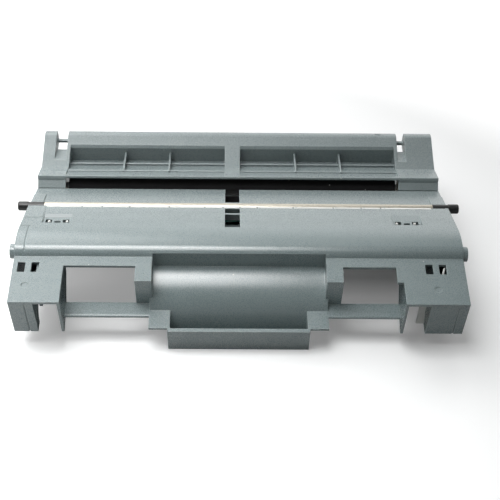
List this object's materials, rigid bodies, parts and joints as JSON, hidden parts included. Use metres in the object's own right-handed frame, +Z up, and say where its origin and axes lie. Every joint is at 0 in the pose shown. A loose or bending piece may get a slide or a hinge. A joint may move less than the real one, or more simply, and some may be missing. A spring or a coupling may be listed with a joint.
{
  "type": "printer drum unit",
  "caption": "Laser printer drum unit lying upside down: grey frame with grip and toner bay, cream roller, ribbed rear cover, geared drum and transfer roller, charger.",
  "frame": {"origin": "middle of the footprint on the table, under the centre of the bounding box", "axes": "+X across the paper, to the right as seen from the grip; +Y from the grip to the paper exit; +Z up from the table"},
  "size_m": [0.3168, 0.2016, 0.0636],
  "materials": {
    "housing_plastic": "moulded, fine grain",
    "black_plastic": "moulded",
    "pale_plastic": "moulded, slippery",
    "roller_shell": "ground and coated",
    "steel": "turned",
    "spring_steel": "bright",
    "drum_coat": "light-sensitive coat, glossy",
    "foam": "closed-cell foam",
    "brush_hair": "conductive pile",
    "film": "thin sheet",
    "contact_metal": "plated"
  },
  "bodies": {
    "frame": {"main_frame": "housing_plastic", "transfer_cover": "housing_plastic", "drum_cover": "housing_plastic", "pinch_cap_left": "black_plastic", "pinch_cap_right": "black_plastic", "charger_end_left": "black_plastic", "charger_end_right": "black_plastic", "brush_holder": "black_plastic", "transfer_bush_left": "pale_plastic", "transfer_bush_right": "pale_plastic", "drum_shaft": "steel", "press_pin_left": "steel", "press_pin_right": "steel", "lock_pin": "steel", "side_screws": "steel", "transfer_spring_left": "spring_steel", "transfer_spring_right": "spring_steel", "press_spring_left": "spring_steel", "press_spring_right": "spring_steel", "lock_spring": "spring_steel", "charge_wire": "spring_steel", "charger_case": "spring_steel", "charger_grid": "spring_steel", "discharge_strip": "spring_steel", "drum_brush": "brush_hair", "entry_film": "film", "drum_contact": "contact_metal", "charger_contact": "contact_metal", "transfer_contact": "contact_metal"},
    "drum": {"drum_tube": "drum_coat", "drum_gear": "pale_plastic", "drum_flange": "pale_plastic"},
    "transfer_roller": {"transfer_foam": "foam", "transfer_shaft": "steel", "transfer_gear": "pale_plastic"},
    "pinch": {"pinch_shaft": "roller_shell"},
    "cleaner": {"wire_cleaner": "black_plastic"},
    "press_left": {"press_arm_left": "pale_plastic"},
    "press_right": {"press_arm_right": "pale_plastic"},
    "lock": {"lock_lever": "black_plastic"}
  },
  "joints": [
    {"name": "drum_spin", "type": "hinge", "parent": "frame", "child": "drum", "pos_m": [0, 0.04352, 0.02299], "axis": [1, 0, 0], "continuous": true},
    {"name": "transfer_spin", "type": "hinge", "parent": "frame", "child": "transfer_roller", "pos_m": [0, 0.04649, 0.04074], "axis": [1, 0, 0], "continuous": true},
    {"name": "pinch_spin", "type": "hinge", "parent": "frame", "child": "pinch", "pos_m": [0, 0.00145, 0.0516], "axis": [1, 0, 0], "continuous": true},
    {"name": "cleaner_slide", "type": "slide", "parent": "frame", "child": "cleaner", "axis": [1, 0, 0], "range_m": [0, 0.21]},
    {"name": "press_left_turn", "type": "hinge", "parent": "frame", "child": "press_left", "pos_m": [0, -0.07499, 0.04285], "axis": [1, 0, 0], "range_deg": [-22, 0], "stiffness_Nm_per_rad": 0.05, "springref_deg": 14.32},
    {"name": "press_right_turn", "type": "hinge", "parent": "frame", "child": "press_right", "pos_m": [0, -0.07499, 0.04285], "axis": [1, 0, 0], "range_deg": [-22, 0], "stiffness_Nm_per_rad": 0.05, "springref_deg": 14.32},
    {"name": "lock_turn", "type": "hinge", "parent": "frame", "child": "lock", "pos_m": [0, -0.06814, 0.0406], "axis": [1, 0, 0], "range_deg": [-17, 0], "stiffness_Nm_per_rad": 0.05, "springref_deg": 14.32}
  ],
  "couplings": [
    {"joint": "transfer_spin", "follows": "drum_spin", "ratio": -2.2143}
  ]
}
